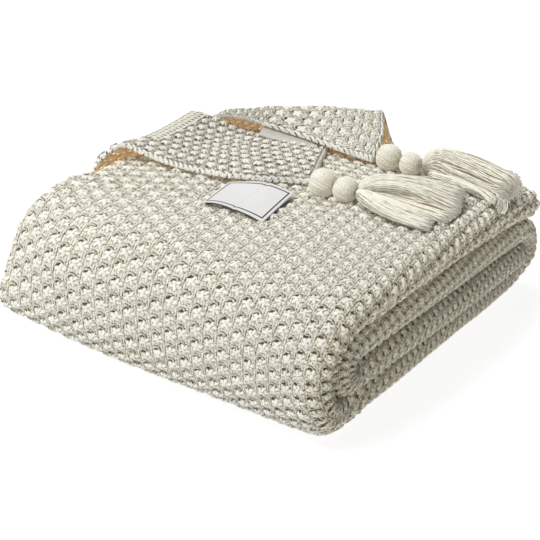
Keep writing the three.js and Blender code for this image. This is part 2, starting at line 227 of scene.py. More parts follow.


# height from 0 in the holes to 1 on the stars, first without and then with the single strands, and the tone, which
# paints shade into the holes, grooves and gaps and round the stars
def stitch(u, w):
    tones = stitchTones
    p, q = stitchLocal(u, w)
    wander = sineOf(wholeOf(u + 0.5) * 1.9 + wholeOf(w + knit["rowShift"]) * 2.7)
    reach = rootOf(p * p + q * q * 1.12)
    lobe = sineOf(bearingOf(q, p) * knit["lobes"] + wander * 2.0)
    top = topAt(w)
    loose = higher(top, sideAt(u, w))
    ratio = reach / (knit["starSize"] + top * 0.5 + knit["lobeDepth"] * lobe * (1.0 - top * 0.3) + wander * 0.3)
    inside = rise(-1.06, -0.93, -ratio)
    dome = rootOf(higher(1.0 - ratio * ratio, 0.0))
    between = (1.0 - lobe) * (1.0 - lobe) * 0.25 * rise(0.22, 0.5, ratio)
    pit = higher(1.0 - ((p - 1.0) * (p - 1.0) + q * q) * 0.40, 0.0)
    star = 0.54 + dome * (0.42 + top * 0.12) - between * 0.16 - pit * 0.14 + wander * 0.03
    mx, my = knit["archMiddle"]
    ap, aq = p - mx, q - my
    ring = rootOf(ap * ap * 1.5 + aq * aq * 1.25)
    arch = rise(-0.4, 1.6, higher(ap, 0.0) * 0.2 - aq) * rise(-10.2, -9.0, -ring)
    pitch = knit["strandPitch"]
    turns = lower((ring - knit["ropeMiddle"]) * 0.256, 0.5) + higher(ring - knit["ropeEdge"], 0.0) * (1 / pitch)
    rope = sineOf(turns * fullTurn + quarterTurn)
    strand = sineOf((p + (q + 5.5) * knit["strandLean"] - knit["firstStrand"]) * (fullTurn / pitch) + quarterTurn)
    lines = mixed(strand, rope, arch) * 0.5 + 0.5
    groove = (1.0 - lines) * (1.0 - lines)
    thick = arch * rise(-7.6, -6.4, -ring)
    middle = aq + 1.5 + loose * 0.7
    hole = higher(1.0 - (ap * ap * mixed(0.10, 0.11, loose) + middle * middle * mixed(0.6, 0.22, loose)), 0.0)
    hook = groove * arch * rise(-1.5, 1.0, ap) * rise(0.5, 2.0, -aq)
    short = higher(1.0 - (q + 5.0) * (q + 5.0) * (1 / 14.0), 0.0) * rise(0.8, 2.0, p)
    # a dark ring of painted shade round each star
    rim = rise(0.78, 0.98, ratio) * rise(-1.3, -1.08, -ratio)
    twist = sineOf(q * 2.2 + p * 1.3) * 0.5
    ground = knit["base"] - hole * 0.34 + thick * higher(rope, 0.0) * 0.12 - hook * 0.06
    coarse = mixed(ground, star, inside)
    fine = mixed(ground + lines * 0.16 + twist * 0.04, star, inside)
    # painted shade: the grooves between strands and ropes, the holes and the ground between the top's bobbles are
    # darkened
    strandShade = (tones["strand"] - groove * (tones["strandGroove"] + short * tones["shortGroove"])
                   + twist * tones["strandTwist"])
    ropeShade = tones["rope"] - groove * (tones["ropeGroove"] + wander * 0.06) - hook * tones["ropeHook"]
    shade = mixed(strandShade, ropeShade, thick) - top * tones["onTop"]
    shade = shade - hole * (tones["hole"] + loose * tones["looseHole"] + wander * 0.10)
    # painted shade between the lobes and in the pit of each star, a little lighter on the domes as a painted highlight,
    # and on the top painted shade on each bobble's lower side
    bright = tones["star"] + dome * tones["starDome"] - between * (tones["between"] - top * 0.16)
    bright = bright - pit * (tones["pit"] - top * 0.45) + wander * (0.03 + top * 0.06)
    bright = bright - top * rise(0.5, 6.0, q) * tones["topLowerShade"]
    return coarse, fine, mixed(shade, bright, inside) - rim * tones["rim"]


def stitchHeight(u, w):
    return stitch(u, w)[0]


# the folded cloth, in millimetres
cloth = {"thickness": 5.8, "layerGap": 1.35, "leafWidth": 380.0, "leafDepth": 380.0, "leafGap": 1.2,
         "outerInset": 2.0, "innerInset": 8.0, "frontWrapY": -133.0, "backBandY": 154.0, "innerTurnY": -132.0,
         "innerLeafRun": 298.0, "endReach": 15.0, "topStartY": 139.0, "topEndRun": 26.0, "topDroop": 8.0,
         "cornerOneFold": 14.0}
settling = {"crown": 0.08, "crownY": -12.0, "frontPress": 0.18, "backPress": 0.08, "sidePress": 0.03,
            "bowX": -70.0, "bowReach": 10.0, "bowSpread": 200.0, "spreadLeft": 36.0, "spreadMiddle": 26.0,
            "spreadRight": 10.0, "spreadHeight": 62.0, "cornerDraw": 16.0, "cornerPull": 0.014,
            "tuckFront": 7.0, "tuckBack": 14.0, "tuckHeight": 40.0, "sideReach": 1.4, "sideLength": 47.0,
            "sideRise": 31.0, "endReach": 1.6, "endLength": 61.0, "endRise": 40.0}
layerPitch = cloth["thickness"] + cloth["layerGap"]
leafThickness = 4 * cloth["thickness"] + 3 * cloth["layerGap"]
leafPitch = leafThickness + cloth["leafGap"]
stackHeight = 4 * leafThickness + 3 * cloth["leafGap"]
halfWidth, halfDepth = cloth["leafWidth"] / 2, cloth["leafDepth"] / 2


# runs and round turns in a plane; the length is measured side mm to the right of the line
def walk(start, heading, moves, side, spacing=0.25):
    x, y = start
    angle = math.radians(heading)
    length = 0.0
    stations = [(x, y, angle, length, 0)]
    for part, (turn, amount, radius) in enumerate(moves):
        arc = math.radians(amount) if turn else 0.0
        real = abs(arc) * (radius + math.copysign(1, arc) * side) if turn else amount
        steps = max(1, round(real / spacing))
        for _ in range(steps):
            if turn:
                reach, following = math.copysign(radius, arc), angle + arc / steps
                x += reach * (math.sin(following) - math.sin(angle))
                y += reach * (math.cos(angle) - math.cos(following))
                angle = following
            else:
                x += math.cos(angle) * amount / steps
                y += math.sin(angle) * amount / steps
            length += real / steps
            stations.append((x, y, angle, length, part))
    return np.array(stations)


def leafLine():
    outerTurn, innerTurn = 1.5 * layerPitch, 0.5 * layerPitch
    right, left = halfWidth - leafThickness / 2, -halfWidth + layerPitch
    return walk((-halfWidth + cloth["outerInset"], outerTurn), 0, [
        (False, right + halfWidth - cloth["outerInset"], 0), (True, -180, outerTurn), (False, right - left, 0),
        (True, -180, innerTurn), (False, right - left, 0), (True, 180, innerTurn),
        (False, right + halfWidth - cloth["innerInset"], 0)], -cloth["thickness"] / 2)


def stackLine():
    top = 3.5 * leafThickness + 3 * cloth["leafGap"]
    droop = cloth["topDroop"]
    drop = cloth["topEndRun"] * math.tan(math.radians(droop / 2))
    return walk((cloth["topStartY"] + cloth["topEndRun"], top - drop), 180 - droop, [
        (True, droop, cloth["topEndRun"] / math.sin(math.radians(droop))),
        (False, cloth["topStartY"] - cloth["frontWrapY"], 0), (True, 180, 1.5 * leafPitch),
        (False, cloth["backBandY"] - cloth["frontWrapY"], 0), (True, 180, leafPitch),
        (False, cloth["backBandY"] - cloth["innerTurnY"], 0), (True, 180, leafPitch / 2),
        (False, cloth["innerLeafRun"], 0)], leafThickness / 2)


acrossLine, alongLine = leafLine(), stackLine()


def stationsAt(table, lengths):
    columns = [np.interp(lengths, table[:, 3], table[:, k]) for k in range(4)]
    parts = table[np.clip(np.searchsorted(table[:, 3], lengths), 0, len(table) - 1), 4]
    return np.stack([*columns, parts], -1)


def settle(x, y, z):
    s = settling
    across = x / halfWidth
    fromCrown = (y - s["crownY"]) / halfDepth
    press = np.where(fromCrown < 0, s["frontPress"], s["backPress"]) * fromCrown ** 2
    swell = (1 + s["crown"] - press) * (1 - s["sidePress"] * across ** 2)
    fromMiddle = np.minimum(1, abs(x - s["bowX"]) / s["bowSpread"])
    bow = s["bowReach"] * np.cos(fromMiddle * math.pi / 2) ** 2
    low = np.maximum(0, 1 - z / s["spreadHeight"]) ** 1.6
    end = np.where(across < 0, s["spreadLeft"], s["spreadRight"])
    spread = mixed(s["spreadMiddle"], end, abs(across) ** 3) * low
    drawn = s["cornerDraw"] * rise(-110, -halfWidth, x) * rise(15, 85, z)
    along = y / halfDepth
    sideways = s["sideReach"] * np.sin(y / s["sideLength"] + z / s["sideRise"]) * abs(across) ** 3
    endways = s["endReach"] * np.sin(x / s["endLength"] + z / s["endRise"]) * abs(along) ** 3
    return np.stack([x * (1 - s["cornerPull"] * along ** 4) + sideways,
                     y - (bow + spread * rise(-85, -150, y) - drawn) * rise(-60, -150, y) + endways,
                     z * swell], -1)


def stackTop(x, y):
    x, y = np.asarray(x, float), np.asarray(y, float)
    return settle(x, y, np.full(np.broadcast(x, y).shape, stackHeight))[..., 2]


# points of the cloth lifted off its middle; rows follow the stack's path, columns the leaf's line
def clothPoints(across, along, lift):
    lineX, lineY, lineAngle, _, layer = across.T
    pathY, pathZ, pathAngle, _, leaf = [column[:, None] for column in along.T]
    x = lineX - lift * np.sin(lineAngle)
    out = lineY + lift * np.cos(lineAngle)
    pastTurn = np.where(leaf == 7, np.clip((pathY - cloth["backBandY"]) / cloth["endReach"], 0, 0.98), 0)
    out = out * np.sqrt(1 - pastTurn ** 2)
    tuck = mixed(settling["tuckFront"], settling["tuckBack"], rise(-90, 60, pathY))
    tuck = np.where((leaf >= 2) & (leaf <= 4), tuck * rise(settling["tuckHeight"], 0, pathZ), 0)
    turned = np.where(leaf < 2, cloth["cornerOneFold"] * rise(-107, -82, pathY), 0)
    x = x + np.where(layer == 0, turned * rise(-60, -halfWidth, x), 0) - tuck * rise(0, halfWidth, x)
    return settle(x, pathY + out * np.sin(pathAngle), pathZ - out * np.cos(pathAngle))


# stitches fan out: rows and columns are wider towards the left of each leaf
stitchFan = {"at": (0, 55, 100, 190, 235, 280, 320, 350, 430, 1600),
             "across": (21.0, 20.0, 18.1, 15.5, 14.5, 14.0, 13.0, 11.8, 10.8, 15.0),
             "slantAt": (0, 100, 235, 320, 430, 1600), "slant": (0.0146, 0.0146, 0.0053, 0.0077, 0.0077, 0.0077),
             "downLeft": 18.4, "downNarrowing": 0.016, "narrowTo": (330, 400), "lean": 0.0105}
fanTable = np.linspace(0, 1600, 6401)


def addedUp(values):
    return np.concatenate([[0], np.cumsum((values[1:] + values[:-1]) / 2 * (fanTable[1] - fanTable[0]))])


fanAcross = addedUp(1 / np.interp(fanTable, stitchFan["at"], stitchFan["across"]))
fanSlant = addedUp(np.interp(fanTable, stitchFan["slantAt"], stitchFan["slant"]))
fanDown = stitchFan["downLeft"] - addedUp(stitchFan["downNarrowing"] * (1 - rise(*stitchFan["narrowTo"], fanTable)))


def stitchPlaces(across, along):
    down = np.interp(across, fanTable, fanDown)
    u = np.interp(across, fanTable, fanAcross)[None, :] - stitchFan["lean"] * along[:, None]
    w = along[:, None] / down[None, :] + np.interp(across, fanTable, fanSlant)[None, :]
    x, y = across[None, :], along[:, None]
    u = u + 0.06 * np.sin(y / 29 + x / 53) + 0.04 * np.sin(x / 23 - y / 17)
    w = w + 0.06 * np.sin(x / 31 - y / 47) + 0.04 * np.sin(y / 19 + x / 27)
    return u, w


# where the pattern shows bare yarn
bareYarn = {"place": (-0.10, 0.04), "spread": 0.05}


# a mesh from points in millimetres, groups of faces and a place in the pattern for each point;
# the groups named as plain show bare yarn
def makeMesh(name, points, faces, places, materials, materialOf=None, plain=()):
    faces = facingOut(points, faces)
    mesh = bpy.data.meshes.new(name)
    sizes = np.concatenate([np.full(len(f), f.shape[1]) for f in faces]).astype(np.int32)
    corners = np.concatenate([f.ravel() for f in faces]).astype(np.int32)
    starts = np.concatenate([[0], np.cumsum(sizes)[:-1]]).astype(np.int32)
    mesh.vertices.add(len(points))
    mesh.vertices.foreach_set("co", (points / 1000).astype(np.float32).ravel())
    mesh.loops.add(len(corners))
    mesh.loops.foreach_set("vertex_index", corners)
    mesh.polygons.add(len(sizes))
    mesh.polygons.foreach_set("loop_start", starts)
    mesh.polygons.foreach_set("use_smooth", np.ones(len(sizes), bool))
    if materialOf is not None:
        mesh.polygons.foreach_set("material_index", materialOf.astype(np.int32))
    mesh.update(calc_edges=True)
    layer = mesh.uv_layers.new(name="stitches")
    inPlain = np.concatenate([np.full(f.size, group in plain) for group, f in enumerate(faces)])
    (bareU, bareW), spread = bareYarn["place"], bareYarn["spread"]
    edgePlace = np.stack([bareU + spread * np.sin(corners * 1.7), bareW + spread * np.cos(corners * 2.3)], -1)
    layer.data.foreach_set("uv", np.where(inPlain[:, None], edgePlace, places[corners]).astype(np.float32).ravel())
    mesh.validate()
    for finish in materials:
        mesh.materials.append(finish.material)
    piece = bpy.data.objects.new(name, mesh)
    bpy.context.collection.objects.link(piece)
    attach(piece, "root")
    return piece


def quads(rows, columns, offset=0):
    index = offset + np.arange(rows * columns).reshape(rows, columns)
    return np.stack([index[:-1, :-1], index[:-1, 1:], index[1:, 1:], index[1:, :-1]], -1).reshape(-1, 4)


# the faces of two grids, one below the other, and the wall between their edges
def twoFaced(rows, columns):
    count = rows * columns
    top = np.arange(count).reshape(rows, columns)
    rim = np.concatenate([top[0], top[1:, -1], top[-1, -2::-1], top[-2:0:-1, 0]])
    nextRim = np.roll(rim, -1)
    walls = np.stack([nextRim, rim, rim + count, nextRim + count], -1)
    return [quads(rows, columns), quads(rows, columns, count)[:, ::-1], walls]


def volumeOf(points, faces):
    total = 0.0
    for group in faces:
        for k in range(1, group.shape[1] - 1):
            a, b, c = points[group[:, 0]], points[group[:, k]], points[group[:, k + 1]]
            total += np.einsum("ij,ij->i", a, np.cross(b, c)).sum() / 6
    return total


def facingOut(points, faces):
    return faces if volumeOf(points, faces) > 0 else [group[:, ::-1] for group in faces]


# a dense upper surface closed by a coarse one under it
def closedSkin(upper, under, every):
    rows, columns = upper.shape[:2]
    coarse = under[::every, ::every]
    coarseRows, coarseColumns = coarse.shape[:2]
    offset = rows * columns
    points = np.concatenate([upper.reshape(-1, 3), coarse.reshape(-1, 3)])
    top = np.arange(rows * columns).reshape(rows, columns)
    low = offset + np.arange(coarseRows * coarseColumns).reshape(coarseRows, coarseColumns)
    borders = [(top[0], low[0]), (top[:, -1], low[:, -1]), (top[-1, ::-1], low[-1, ::-1]), (top[::-1, 0], low[::-1, 0])]
    rim = []
    for dense, sparse in borders:
        for k in range(len(sparse) - 1):
            rim.append([sparse[k], sparse[k + 1], *dense[every * k:every * k + every + 1][::-1]])
    return points, [quads(rows, columns), quads(coarseRows, coarseColumns, offset)[:, ::-1], np.array(rim)]


def skinPlaces(places, every):
    return np.concatenate([places.reshape(-1, 2), places[::every, ::every].reshape(-1, 2)])


knitFinish = Finish("knitFront", 0.88, 0.25)
knitUnder = Finish("knitUnderside", 0.92, 0.1)


# tones from the holes, darkened to painted shade, up to the stars
knitTones = [(0.0, (0.10, 0.068, 0.04)), (0.22, (0.36, 0.30, 0.21)), (0.5, (0.63, 0.59, 0.47)),
             (0.78, (0.84, 0.82, 0.71)), (1.0, (0.96, 0.95, 0.87))]
# painted shade: the right-hand side, which lies in shade, is tinted warmer and darker between two columns of stitches,
# which lean with the rows
sideShadeTint = {"colour": (1.0, 0.96, 0.86), "from": (23.0, 26.0), "to": (-44.0, -40.0), "lean": 0.136}
# painted light: the turned corners' undersides glow brown as if light shone through them, darker in their hollows, with
# painted white specks of light in their holes
undersideLightTones = {"yarn": (0.60, 0.43, 0.24), "deep": (0.30, 0.18, 0.08), "lightSpeck": (0.97, 0.92, 0.78), "glow": 0.58}


def stitchPlace(finish):
    place, u, w = finish.ownMap()
    warpU, warpW = finish.noise(place, 7.0, 1.0), finish.noise(place, 5.0, 1.0)
    return place, u + (warpU - 0.5) * 0.20, w + (warpW - 0.5) * 0.20


def makeKnitFinish(finish):
    place, u, w = stitchPlace(finish)
    fine, tone = stitch(u, w)[1:]
    ply = finish.noise(place, 16.0, 1.0)
    patch = finish.noise(place, 1.3, 1.0)
    grain = finish.noise(place, 6.0, 2.0)
    top, side = topAt(w), sideAt(u, w)
    level = tone + (ply - 0.5) * (1.3 + top * 0.3 + side * 0.5) + (patch - 0.5) * 0.3
    level = level + (grain - 0.5) * (top * 0.7 + side * 1.7)
    plain = finish.node("ShaderNodeValToRGB", {"stops": knitTones}, {0: level})
    # painted warm shade over the right-hand side
    column = u + w * sideShadeTint["lean"]
    sideShadeShare = rise(*sideShadeTint["from"], column) * rise(*sideShadeTint["to"], -column)
    finish.colour(finish.node("ShaderNodeMix", {"data_type": "RGBA", "blend_type": "MULTIPLY"},
                              {0: sideShadeShare, 6: plain, 7: (*sideShadeTint["colour"], 1)}, 2))
    finish.bump(fine + ply * 0.35, 0.0028, 1.0)


def makeKnitUnder(finish):
    place, u, w = stitchPlace(finish)
    fine, tone = stitch(u, w)[1:]
    ply = finish.noise(place, 12.0, 1.0)
    patch = finish.noise(place, 1.1, 1.0)
    yarn = finish.mix(lower(higher(tone * 1.1 - 0.15 + (ply - 0.5) * 1.6, 0.0), 1.0), (*undersideLightTones["deep"], 1),
                      (*undersideLightTones["yarn"], 1))
    p, q = stitchLocal(u, w)
    lightSpeck = rise(-1.3, -0.5, -((p + 2.8) * (p + 2.8) + (q + 5.4) * (q + 5.4)) * 0.26 + (patch - 0.6) * 1.5)
    colour = finish.mix(lightSpeck, yarn, (*undersideLightTones["lightSpeck"], 1))
    finish.colour(colour, undersideLightTones["glow"])
    finish.bump(fine, 0.0022, 0.8)


makeKnitFinish(knitFinish)
makeKnitUnder(knitUnder)
print("knit finish ready")


def liftOf(u, w, amount=1.0):
    return knit["lowLift"] + knit["relief"] * stitchHeight(u, w) * amount


# the wide label presses the stitches down a little
def underLabel(s, v):
    x, y = s[None, :] - 188, 165 - v[:, None]
    inX = rise(-46, -38, x) * rise(46, 38, x)
    return inX * rise(-84, -76, y) * rise(-14, -22, y)


skins = {"every": 8, "fade": 0.85, "fadeEnd": 4, "topStart": 100, "topGain": 0.25, "topGainAt": (320, 230),
         "labelPress": 0.6, "underLift": 0.6}


# stitches over a part of the cloth; from fadeFrom on their relief fades, in the grooves of the right-hand rolls
def skin(name, acrossFrom, acrossTo, alongFrom, alongTo, step, fadeFrom=None, height=1.0, finer=(1.0, 1.0)):
    every = skins["every"]
    columns = every * max(1, round((acrossTo - acrossFrom) / step / every)) + 1
    rows = every * max(1, round((alongTo - alongFrom) / step / every)) + 1
    s, v = np.linspace(acrossFrom, acrossTo, columns), np.linspace(alongFrom, alongTo, rows)
    across, along = stationsAt(acrossLine, s), stationsAt(alongLine, v)
    u, w = stitchPlaces(s, v)
    u, w = u * finer[0], w * finer[1]
    fadeTo = acrossTo - skins["fadeEnd"]
    amount = height * (1.0 if fadeFrom is None else 1 - skins["fade"] * rise(fadeFrom, fadeTo, s)[None, :])
    if alongFrom < skins["topStart"]:
        amount = amount * (1 + skins["topGain"] * rise(*skins["topGainAt"], v)[:, None])
        amount = amount * (1 - skins["labelPress"] * underLabel(s, v))
    upper = clothPoints(across, along, liftOf(u, w, amount))
    upper[..., 2] = np.maximum(upper[..., 2], 0.0)
    under = clothPoints(across, along, skins["underLift"])
    points, faces = closedSkin(upper, under, every)
    piece = makeMesh(name, points, faces, skinPlaces(np.stack([u, w], -1), every), [knitFinish], plain=(2,))
    return piece


def coreLengths(table, spacing, turnSpacing):
    lengths = [0.0]
    for part in range(int(table[-1, 4]) + 1):
        rows = table[table[:, 4] == part]
        first, last = lengths[-1], rows[-1, 3]
        turned = abs(rows[-1, 2] - rows[0, 2]) > 0.05
        steps = max(1, math.ceil((last - first) / (turnSpacing if turned else spacing)))
        lengths.extend(np.linspace(first, last, steps + 1)[1:])
    return np.array(lengths)


# the whole cloth as one thin folded sheet, under the skins of stitches
def foldedCloth():
    s, v = coreLengths(acrossLine, 9, 2.4), coreLengths(alongLine, 8, 5)
    across, along = stationsAt(acrossLine, s), stationsAt(alongLine, v)
    half = 1.6
    outerLift = np.where((along[:, 4] == 3)[:, None] & (across[:, 4] == 0)[None, :], cloth["thickness"] / 2, half)
    outer = clothPoints(across, along, outerLift)
    inner = clothPoints(across, along, -half)
    ring = np.concatenate([outer, inner[:, ::-1]], 1)
    rows, count = ring.shape[:2]
    points = ring.reshape(-1, 3)
    index = np.arange(rows * count).reshape(rows, count)
    following = np.roll(index, -1, 1)
    sides = np.stack([index[:-1], following[:-1], following[1:], index[1:]], -1).reshape(-1, 4)
    k = np.arange(count // 2 - 1)
    cap = np.stack([k, k + 1, count - 2 - k, count - 1 - k], -1)
    faces = [sides, cap[:, ::-1], cap + (rows - 1) * count]
    u, w = stitchPlaces(s, v)
    places = np.stack([np.concatenate([u, u[:, ::-1]], 1), np.concatenate([w, w[:, ::-1]], 1)], -1).reshape(-1, 2)
    return makeMesh("foldedCloth", points, faces, places, [knitFinish], plain=(1, 2))


foldedPiece = foldedCloth()
knitSkins = [
    skin("knitTop", 0, 417, 0, 330, 1.3, 398),
    skin("knitFrontWrap", 0, 417, 330, 490, 1.3, 398),
    skin("knitBackBand", 0, 417, 752, 912, 1.7, 398, 0.7),
    skin("knitRollBottom", 352, 417, 490, 752, 1.2, 398, 0.6, (1.3, 1.3)),
    skin("knitRollInside", 352, 417, 912, 1566, 1.2, 398, 0.65, (1.3, 1.3)),
    skin("knitLeftFolds", 750, 802, 0, 1566, 2.1),
]
print("cloth ready")


# a smooth line through points, as a table of places at even shares of its spans
def lineThrough(points, shares):
    points = [np.asarray(p, float) for p in points]
    points = [2 * points[0] - points[1], *points, 2 * points[-1] - points[-2]]
    spans = len(points) - 3
    result = []
    for share in shares:
        k = min(spans - 1, int(share * spans))
        t = share * spans - k
        a, b, c, d = points[k:k + 4]
        gaps = [max(1e-4, np.linalg.norm(q - p) ** 0.5) for p, q in ((a, b), (b, c), (c, d))]
        one = (b - a) / gaps[0] - (c - a) / (gaps[0] + gaps[1]) + (c - b) / gaps[1]
        two = (c - b) / gaps[1] - (d - b) / (gaps[1] + gaps[2]) + (d - c) / gaps[2]
        one, two = one * gaps[1], two * gaps[1]
        result.append(b + one * t + (3 * (c - b) - 2 * one - two) * t ** 2 + (2 * (b - c) + one + two) * t ** 3)
    return np.array(result)


def lengthsAlong(line):
    return np.concatenate([[0], np.cumsum(np.linalg.norm(np.diff(line, axis=0), axis=1))])


def evenlyAlong(points, count):
    line = lineThrough(points, np.linspace(0, 1, 401))
    length = lengthsAlong(line)
    places = np.linspace(0, length[-1], count)
    return np.stack([np.interp(places, length, line[:, k]) for k in range(3)], -1)


def surfaceThrough(sections, rows, columns):
    lines = [evenlyAlong(section, columns) for section in sections]
    shares = np.linspace(0, 1, rows)
    return np.stack([lineThrough([line[j] for line in lines], shares) for j in range(columns)], 1)


def normalsOf(grid):
    alongRow, acrossRows = np.gradient(grid, axis=1), np.gradient(grid, axis=0)
    normal = np.cross(alongRow, acrossRows)
    return normal / np.linalg.norm(normal, axis=2, keepdims=True)


def above(x, y, lift):
    return [x, y, float(stackTop(x, y)) + lift]


flatLift = cloth["leafGap"] + cloth["thickness"] / 2
rootDepth = -cloth["thickness"] / 2 - 0.4


# the twisted cord of yarn round a turned corner
edging = {"width": 3.8, "step": 6.2, "slant": 1.3, "lift": 2.3, "scallop": 1.8, "rounding": 3.2, "deep": 2.6}


# a turned corner: knit on both faces inside its edging
def turnedCorner(name, grid, corner, hem=None):
    rows, columns = grid.shape[:2]
    pitch, lean, origin = corner["pitch"], corner["lean"], corner["origin"]
    normal = normalsOf(grid)
    rowStep = np.linalg.norm(np.diff(grid, axis=0), axis=2).mean()
    columnStep = np.linalg.norm(np.diff(grid, axis=1), axis=2).mean()
    i, j = np.arange(rows)[:, None] * rowStep, np.arange(columns)[None, :] * columnStep
    u = origin[0] + j / pitch[0] + lean * i / pitch[1]
    w = origin[1] + i / pitch[1] + 0.3 * lean * j / pitch[0]
    wave = 0.10 * np.sin(i / 23 + j / 37) + 0.07 * np.sin(j / 17 - i / 29)
    u, w = u + wave, w + wave
    height = stitchHeight(u, w)
    fromEdge = np.minimum(np.minimum(i, i.max() - i), j.max() - j)
    radius = edging["rounding"]
    rounding = np.sqrt(np.clip(1 - (1 - fromEdge / radius) ** 2, 0, 1) * (fromEdge < radius) + (fromEdge >= radius))
    over = (knit["lowLift"] + knit["relief"] * height * corner["relief"]) * rounding
    inEdge = fromEdge < edging["width"]
    along = np.where(j.max() - j + 0 * i <= fromEdge + 0.01, i + 0 * j, j + 0 * i)
    twist = along + 1.5 * np.sin(along / 19) + edging["slant"] * fromEdge
    scallop = np.abs(np.sin(math.pi * twist / edging["step"]))
    over = np.where(inEdge, rounding * (edging["lift"] + edging["scallop"] * scallop), over)
    # painted shade: the gaps between the scallops take a darker place in the pattern
    shadedGap = (1 - scallop) ** 3
    u = np.where(inEdge, -0.10 - 0.09 * shadedGap, u)
    w = np.where(inEdge, 0.03 + 0.25 * shadedGap + 0.05 * np.sin(along * 2.1 + fromEdge * 3), w)
    if hem is not None:
        u, w, over = hem(i, j, u, w, over)
    below = -(corner["underLift"] + corner["underRelief"] * height) * rounding
    upper = grid + normal * over[..., None]
    lowerFace = grid + normal * np.minimum(below, over - 0.4)[..., None]
    points = np.concatenate([upper.reshape(-1, 3), lowerFace.reshape(-1, 3)])
    faces = twoFaced(rows, columns)
    sizes = [len(group) for group in faces]
    # away from their edging the lower faces take the underside finish with its painted glow
    deep = (fromEdge[:-1, :-1] > edging["deep"]).ravel()
    materialOf = np.concatenate([np.zeros(sizes[0]), deep, np.zeros(sizes[2])])
    places = np.concatenate([np.stack([u, w], -1).reshape(-1, 2)] * 2)
    piece = makeMesh(name, points, faces, places, [knitFinish, knitUnder], materialOf)
    return piece


# corner one, over the left edge. Each row has its root, the x of its turn and of its outermost point, the crest of
# the bend, the foot where it lies flat, its sag, its lift and its end; a third number is a height above the stack
cornerOne = {"rows": [
    ((-152, -90), -168, -180, (-173, -46, 17), (-112, -38), -19, 2.8, (32, 9)),
    ((-162, -56), -177, -186, (-177, -14, 13), (-118, -2), -8, 1.4, (17, 37)),
    ((-164, -20), -179, -189, (-180, 18, 14), (-122, 32), -4, 0, (0, 68)),
    ((-164, 18), -179, -189, (-182, 46, 19), (-126, 66), 0, 0, (-18, 100)),
    ((-164, 60), -179, -189, (-187, 74, 24), (-137, 112), 6, 0, (-38, 134))],
    "grid": (129, 217), "pitch": (11.8, 15.0), "lean": 0.5, "origin": (-8.8, 1.1), "relief": 1.05,
    "underLift": 1.5, "underRelief": 1.3, "hemFrom": (44, 46), "hemTo": 80, "hemLift": 3.4, "dots": (0.40, 0.62, 0.84),
    "dotStep": 6.6, "dotWidth": 0.045, "dotDepth": 1.3}


def cornerOneGrid():
    sections = []
    for (rootX, rootY), turnX, outX, (crestX, crestY, crestLift), (footX, footY), sag, lift, end in cornerOne["rows"]:
        bendY = mixed(rootY, crestY, 0.35)
        sections.append([
            above(rootX, rootY, rootDepth), above(turnX, rootY, rootDepth),
            above(outX, bendY, 0.3 * crestLift), above(crestX, crestY, crestLift),
            above(mixed(crestX, footX, 0.45), mixed(crestY, footY, 0.6), mixed(crestLift, flatLift, 0.4)),
            above(footX, footY, flatLift + 1 + lift / 2),
            above(mixed(footX, end[0], 0.5), mixed(footY, end[1], 0.5) + sag, flatLift + lift),
            above(*end, flatLift)])
    return surfaceThrough(sections, *cornerOne["grid"])


# the smooth hem of corner one along its bend, with three rows of small holes
def cornerOneHem(i, j, u, w, over):
    rowFrom, columnFrom = cornerOne["hemFrom"]
    share = (j - columnFrom) / (cornerOne["hemTo"] - columnFrom) + 0 * i
    inHem = (share > 0) & (share < 1) & (i > rowFrom)
    dot = sum(np.exp(-((share - middle) / cornerOne["dotWidth"]) ** 2) for middle in cornerOne["dots"])
    dot = dot * np.maximum(0, np.cos(2 * math.pi * (i / cornerOne["dotStep"] + share * 1.5))) ** 3
    place = -0.06 + 0.03 * np.sin(i / 2.1 + j), 0.17 + 0.03 * np.sin(j / 1.7 - i)
    lift = cornerOne["hemLift"] + 0.4 * np.cos(6 * math.pi * share) - cornerOne["dotDepth"] * dot
    # the dots also take a dark place in the pattern: painted shade in the small holes
    return (np.where(inHem, place[0] - 0.18 * dot, u), np.where(inHem, place[1] + 0.34 * dot, w),
            np.where(inHem, lift, over))


# corner two, over the back edge: each row's root, crest and end, and how far it hollows
cornerTwo = {"rows": [
    ((-186, 112), (-178, 106, 130), (-177, 101, 129), 0), ((-166, 130), (-160, 104, 141), (-156, 98, 136.5), 0),
    ((-140, 144), (-136, 110, 145), (-131, 98, 139), 0), ((-106, 150), (-108, 124, 150), (-106, 102, 136), 0),
    ((-54, 152), (-56, 150, 153.5), (-44, 104, 131), 0), ((-6, 153), (-22, 162, 153.5), (8, 99, 127.4), 0),
    ((56, 153), (4, 174, 153.5), (40, 99, 125), 1)],
    "grid": (201, 81), "pitch": (11.0, 10.8), "lean": 0.4, "origin": (-3.6, 3.3), "relief": 0.55,
    "underLift": 1.5, "underRelief": 1.3}


def cornerTwoGrid(rows, columns):
    sections = []
    for root, crest, end, hollow in cornerTwo["rows"]:
        root, crest, end = np.array(above(*root, rootDepth)), np.array(crest), np.array(end)
        back = (root + crest) / 2 + (-5 * hollow, 12 - 12 * hollow, 2 - 9 * hollow)
        sections.append([root, back, crest, (crest + end) / 2 + (6 * hollow, 0, 2), end])
    return surfaceThrough(sections, rows, columns)


cornerOnePiece = turnedCorner("cornerOne", cornerOneGrid(), cornerOne, cornerOneHem)
cornerTwoPiece = turnedCorner("cornerTwo", cornerTwoGrid(*cornerTwo["grid"]), cornerTwo)
print("corners ready")

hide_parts("blanket")


# yarn for the balls and tassels: fine strands along the piece's own map, with painted shade on the lower sides of and
# between the strands and deep inside a tassel, and a faint painted glow
yarnFinish = Finish("looseYarn", 0.8, 0.3)
yarnColours = {"light": (0.82, 0.80, 0.70), "shade": (0.68, 0.60, 0.44), "deep": (0.68, 0.52, 0.31), "glow": 0.10}


